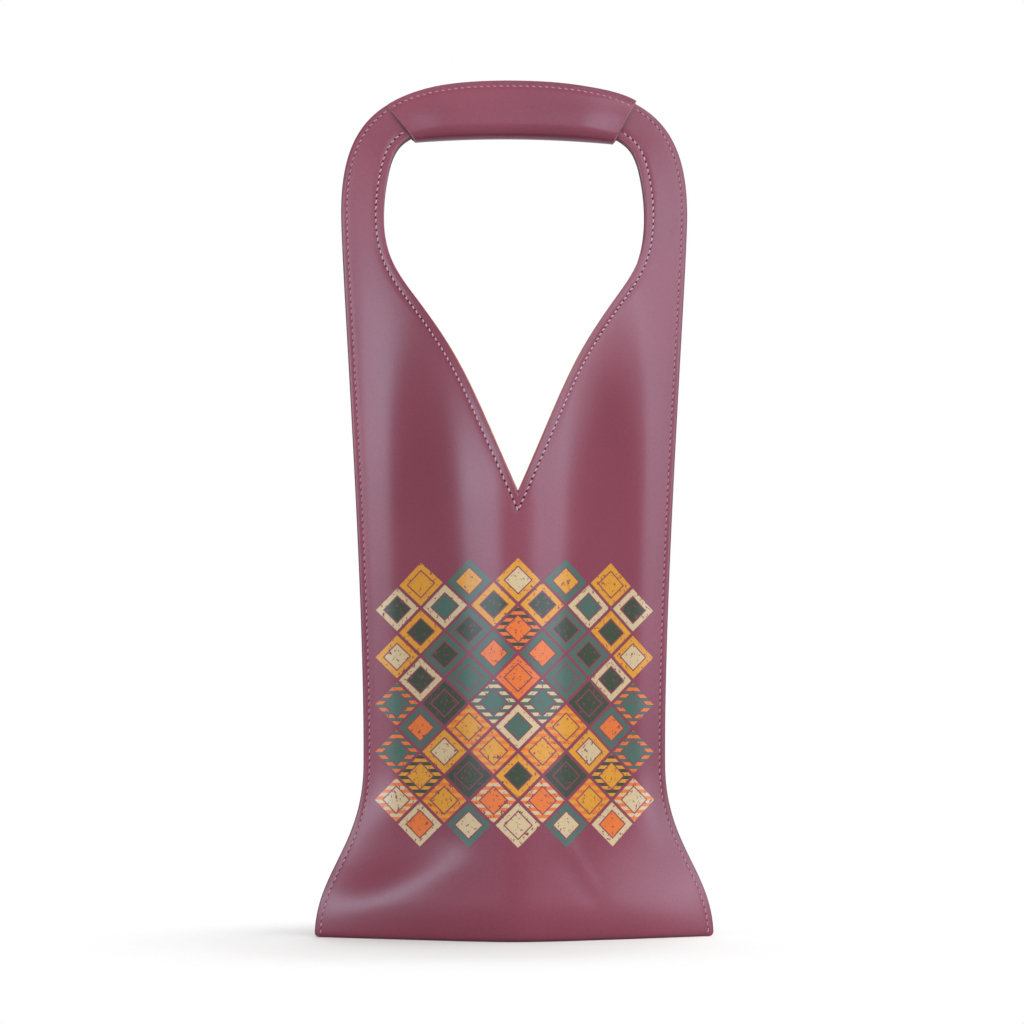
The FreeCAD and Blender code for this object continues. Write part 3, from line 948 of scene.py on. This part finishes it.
def sheet_directions(along, side):
    """Directions across a row and out of the sheet, for a row that runs along."""
    across = unit(np.cross((0.0, side, 0.0), along))
    return across, unit(np.cross(along, across))


def round_points(middle, first, second, sides):
    """Points of an ellipse about a middle, given by its two half-axes."""
    turns = 2 * math.pi * np.arange(sides) / sides
    return [middle + first * math.cos(turn) + second * math.sin(turn) for turn in turns]


def add_stitch(mesh, centre, along, side):
    """One slanted stitch, raised in its middle and dipping at its two ends."""
    across, out = sheet_directions(along, side)
    slant = STITCH_SLANT * side
    run = along * math.cos(slant) + across * math.sin(slant)
    wide = across * math.cos(slant) - along * math.sin(slant)
    rings = []
    for share in np.linspace(-1, 1, STITCH_RINGS):
        full = math.sqrt(max(1 - share**4, STITCH_TIP))
        middle = centre + run * STITCH_REACH * share + out * (STITCH_LIFT - STITCH_DIP * share**4)
        half_axes = (wide * STITCH_HALF_WIDTH * full, out * STITCH_HALF_HEIGHT * full)
        rings.append([mesh.verts.new(p) for p in round_points(middle, *half_axes, STITCH_SIDES)])
    for low, high in zip(rings, rings[1:]):
        for s in range(STITCH_SIDES):
            after = (s + 1) % STITCH_SIDES
            add_face(mesh, (low[s], low[after], high[after], high[s]), 0)
    mesh.faces.new(rings[0][::-1])
    mesh.faces.new(rings[-1])


def add_hole_shade(mesh, centre, along, side, reach):
    """One needle hole, as a dark spot of painted shade between two stitches with its half-length and
    half-width given.
    """
    across, out = sheet_directions(along, side)
    spot = round_points(centre + out * HOLE_RIM_LIFT, along * reach[0], across * reach[1], HOLE_SIDES)
    rim = [mesh.verts.new(p) for p in spot]
    middle = mesh.verts.new(centre + out * HOLE_MIDDLE_LIFT)
    for s in range(HOLE_SIDES):
        add_face(mesh, (rim[s], rim[(s + 1) % HOLE_SIDES], middle), 1)


def add_row(mesh, line, depth, side, hole_reach):
    """The stitches and needle holes of one row, given as a line in the front view and its depth."""
    path = np.stack([line[:, 0], side * depth, line[:, 1]], axis=1)
    length = np.linalg.norm(np.diff(path, axis=0), axis=1).sum()
    count = max(2, round(length / STITCH_PITCH))
    middles = np.arange(count) + 0.5
    centres = along_length(path, middles / count)
    ahead = along_length(path, (middles + STITCH_AHEAD_SHARE) / count)
    holes = along_length(path, np.arange(1, count) / count)
    for k in range(count):
        add_stitch(mesh, centres[k], unit(ahead[k] - centres[k]), side)
    for k in range(count - 1):
        add_hole_shade(mesh, holes[k], unit(centres[k + 1] - centres[k]), side, hole_reach)


def thread_finish(name, dark, light):
    """Twisted thread, its plies a little lighter and darker."""
    material, tree, shader, place = finish_tree(name)
    plies = speckle(tree, place, PLY_SIZE)
    tree.links.new(ramp(tree, plies, ((0.3, dark), (0.7, light))), shader.inputs["Base Color"])
    tree.links.new(bump(tree, plies, PLY_DEPTH, 0.7), shader.inputs["Normal"])
    shader.inputs["Roughness"].default_value = 0.6
    return material


def hole_shade_finish(name, dark, light):
    """Painted shade for the inside of a needle hole."""
    material, tree, shader, place = finish_tree(name)
    tone = ramp(tree, speckle(tree, place, HOLE_SPOT), ((0.3, dark), (0.7, light)))
    tree.links.new(tone, shader.inputs["Base Color"])
    shader.inputs["Roughness"].default_value = 0.9
    return material


# thread, the painted shade of the needle holes and each shade spot's half-length and half-width, for the
# neck rows and for the seams
neck_stitch = (
    thread_finish("neck_thread", *NECK_THREAD),
    hole_shade_finish("neck_needle_hole_shade", *NECK_HOLE_SHADE),
    NECK_HOLE_REACH,
)
seam_stitch = (
    thread_finish("seam_thread", *SEAM_THREAD),
    hole_shade_finish("seam_needle_hole_shade", *SEAM_HOLE_SHADE),
    SEAM_HOLE_REACH,
)


def stitch_piece(name, rows, stitch, node_name):
    thread, hole_shade, hole_reach = stitch
    mesh = bmesh.new()
    for line, depth, side in rows:
        add_row(mesh, line, depth, side, hole_reach)
    bmesh.ops.recalc_face_normals(mesh, faces=mesh.faces)
    fit(piece_from(name, mesh, crisp=False), node_name, "thread", thread, hole_shade)


def wrap_side(line, hand):
    """How far points lie inside (negative) or outside (positive) one slanted end of the wrap."""
    top = grip_frame(hand)[0]
    slope = (abs(top[0]) - WRAP_BOTTOM_HALF) / (top[1] - WRAP_END_HEIGHT)
    return line[:, 0] - (WRAP_BOTTOM_HALF + slope * (line[:, 1] - WRAP_END_HEIGHT))


def mirrored(line):
    return line * np.array((-1, 1))


CLEAR_OF_WRAP = 0.0010
CLEAR_OF_FLOOR = 0.0010
BELOW_WRAP = 0.34
TOP_ROW_SINK = 0.00012

side_lines, neck_lines, top_lines = {}, {}, {}
edge_heights, neck_heights = edge_stitch_line[:, 1], neck_stitch_line[:, 1]
for hand in (RIGHT, LEFT):
    edge_gap, neck_gap = wrap_side(edge_stitch_line, hand), wrap_side(neck_stitch_line, hand)
    beside_wrap = (edge_heights < BELOW_WRAP) | (edge_gap > CLEAR_OF_WRAP)
    side_lines[hand] = edge_stitch_line[beside_wrap & (edge_heights > CLEAR_OF_FLOOR)]
    neck_lines[hand] = neck_stitch_line[(neck_heights < BELOW_WRAP) | (neck_gap > CLEAR_OF_WRAP)]
    top_lines[hand] = edge_stitch_line[(edge_heights > BELOW_WRAP) & (edge_gap < -CLEAR_OF_WRAP)]
neck_whole = np.vstack([mirrored(neck_lines[LEFT])[:0:-1], neck_lines[RIGHT]])
top_whole = np.vstack([mirrored(top_lines[LEFT]), top_lines[RIGHT][-2::-1]])
neck_depth = panel_depth(neck_whole)
top_depth = np.full(len(top_whole), PINCH_HALF - TOP_ROW_SINK)

for name, line, depth, node_name in (
    ("stitches_right", side_lines[RIGHT], panel_depth(side_lines[RIGHT]), "side_thread_right"),
    ("stitches_left", mirrored(side_lines[LEFT]), panel_depth(side_lines[LEFT]), "side_thread_left"),
    ("stitches_wrap", top_whole, top_depth, "wrap_thread"),
):
    stitch_piece(name, [(line, depth, FRONT), (line, depth, BACK)], seam_stitch, node_name)
stitch_piece("stitches_neck_front", [(neck_whole, neck_depth, FRONT)], neck_stitch, "neck_thread_front")
stitch_piece("stitches_neck_back", [(neck_whole, neck_depth, BACK)], neck_stitch, "neck_thread_back")


# Stage. A wide pale floor and a white surround. Long low strips of light stand to the left and to the right
# of the camera, with small boxes beside it, banks above it and to the right, and boxes overhead and behind.
FLOOR_HALF = 6.0
FLOOR_TONE_SEEN = 0.93
FLOOR_TONE_LIT = 0.45
FLOOR_GLOW = 0.14
FLOOR_BEHIND = (-0.2, 0.2)
SHADOW_SHIFT = (0.030, 0.030, 0)
SHADOW_REACH = (0.075, 0.180)
SKY_BEHIND = (0.15, 0.55)
AMBIENT = 0.23
STUDIO_RADIUS = 5.0
STUDIO_AIM = Vector((0, 0, 0.20))


def smooth_range(tree, value, span):
    """0 below a span of the value, 1 above it."""
    inputs = {"Value": value, "From Min": span[0], "From Max": span[1]}
    return node(tree, "ShaderNodeMapRange", inputs, interpolation_type="SMOOTHSTEP").outputs[0]


def between_levels(tree, value, low, high):
    inputs = {"Value": value, "To Min": low, "To Max": high}
    return node(tree, "ShaderNodeMapRange", inputs).outputs[0]


def backdrop_seen(tree, place, behind):
    """1 for what the camera sees directly, and for reflections of what stands behind the carrier."""
    path = node(tree, "ShaderNodeLightPath").outputs
    reflected = calc(tree, "MAXIMUM", path["Is Glossy Ray"], path["Is Transmission Ray"])
    back = node(tree, "ShaderNodeSeparateXYZ", {0: place}).outputs["Y"]
    reflected = calc(tree, "MULTIPLY", reflected, smooth_range(tree, back, behind))
    return calc(tree, "MAXIMUM", path["Is Camera Ray"], reflected)


floor_data = bpy.data.meshes.new("floor")
corners = [(FLOOR_HALF * x, FLOOR_HALF * y, 0) for x, y in ((-1, -1), (1, -1), (1, 1), (-1, 1))]
floor_data.from_pydata(corners, [], [(0, 1, 2, 3)])
floor = bpy.data.objects.new("floor", floor_data)
scene.collection.objects.link(floor)
floor_paint, floor_tree, floor_shader, floor_place = finish_tree("floor_paint")
floor_seen = node(floor_tree, "ShaderNodeLightPath").outputs["Is Camera Ray"]
floor_tone = between_levels(floor_tree, floor_seen, FLOOR_TONE_LIT, FLOOR_TONE_SEEN)
floor_tree.links.new(floor_tone, floor_shader.inputs["Base Color"])
floor_shader.inputs["Roughness"].default_value = 0.9
floor_shader.inputs["Specular IOR Level"].default_value = 0.1

# the floor is shaded near the carrier, where its shadow falls, and turns plain white further away
shift = {0: floor_place, 1: SHADOW_SHIFT}
shifted = node(floor_tree, "ShaderNodeVectorMath", shift, operation="ADD").outputs[0]
far = node(floor_tree, "ShaderNodeVectorMath", {0: shifted}, operation="LENGTH").outputs["Value"]
away = smooth_range(floor_tree, far, SHADOW_REACH)
share = calc(floor_tree, "MULTIPLY", away, backdrop_seen(floor_tree, floor_place, FLOOR_BEHIND))
share = calc(floor_tree, "MAXIMUM", share, calc(floor_tree, "MULTIPLY", floor_seen, FLOOR_GLOW))
white = node(floor_tree, "ShaderNodeEmission", {"Strength": 1.0}).outputs[0]
layers = {0: share, 1: floor_shader.outputs[0], 2: white}
blended = node(floor_tree, "ShaderNodeMixShader", layers).outputs[0]
floor_tree.links.new(blended, floor_tree.nodes["Material Output"].inputs["Surface"])
floor_data.materials.append(floor_paint)

world = bpy.data.worlds.new("surround")
world.use_nodes = True
scene.world = world
sky_tree = world.node_tree
sky = sky_tree.nodes["Background"]
heading = node(sky_tree, "ShaderNodeTexCoord").outputs["Generated"]
sky_level = between_levels(sky_tree, backdrop_seen(sky_tree, heading, SKY_BEHIND), AMBIENT, 1.0)
sky_tree.links.new(sky_level, sky.inputs["Strength"])
sky.inputs["Color"].default_value = (1, 1, 1, 1)


def soft_box(name, azimuth, elevation, spread, level):
    """A lamp panel that fills an angle seen from the carrier, in degrees, with an even brightness."""
    turn, rise = math.radians(azimuth), math.radians(elevation)
    outward = Vector((math.sin(turn) * math.cos(rise), -math.cos(turn) * math.cos(rise), math.sin(rise)))
    data = bpy.data.lights.new(name, "AREA")
    data.shape = "RECTANGLE"
    data.size, data.size_y = (2 * STUDIO_RADIUS * math.tan(math.radians(angle / 2)) for angle in spread)
    data.energy = level * math.pi * data.size * data.size_y
    lamp = bpy.data.objects.new(name, data)
    lamp.location = STUDIO_AIM + outward * STUDIO_RADIUS
    lamp.rotation_euler = outward.to_track_quat("Z", "Y").to_euler()
    scene.collection.objects.link(lamp)


soft_box("left_strip", -45, 9.5, (48, 11), 6.1)
soft_box("left_front", -14, 14.5, (14, 7.5), 4.2)
soft_box("right_front", 14, 15.5, (14, 9), 5.2)
soft_box("right_strip", 43, 10, (46, 18), 3.2)
soft_box("right_high", 68, 22, (24, 20), 2.3)
soft_box("right_bank", 34, 36, (28, 34), 2.0)
soft_box("front_bank", 0, 42, (42, 40), 0.65)
soft_box("top_box", 125, 74, (44, 28), 4.0)
soft_box("back_box", 180, 30, (50, 32), 1.1)

scene.view_settings.view_transform = "Standard"
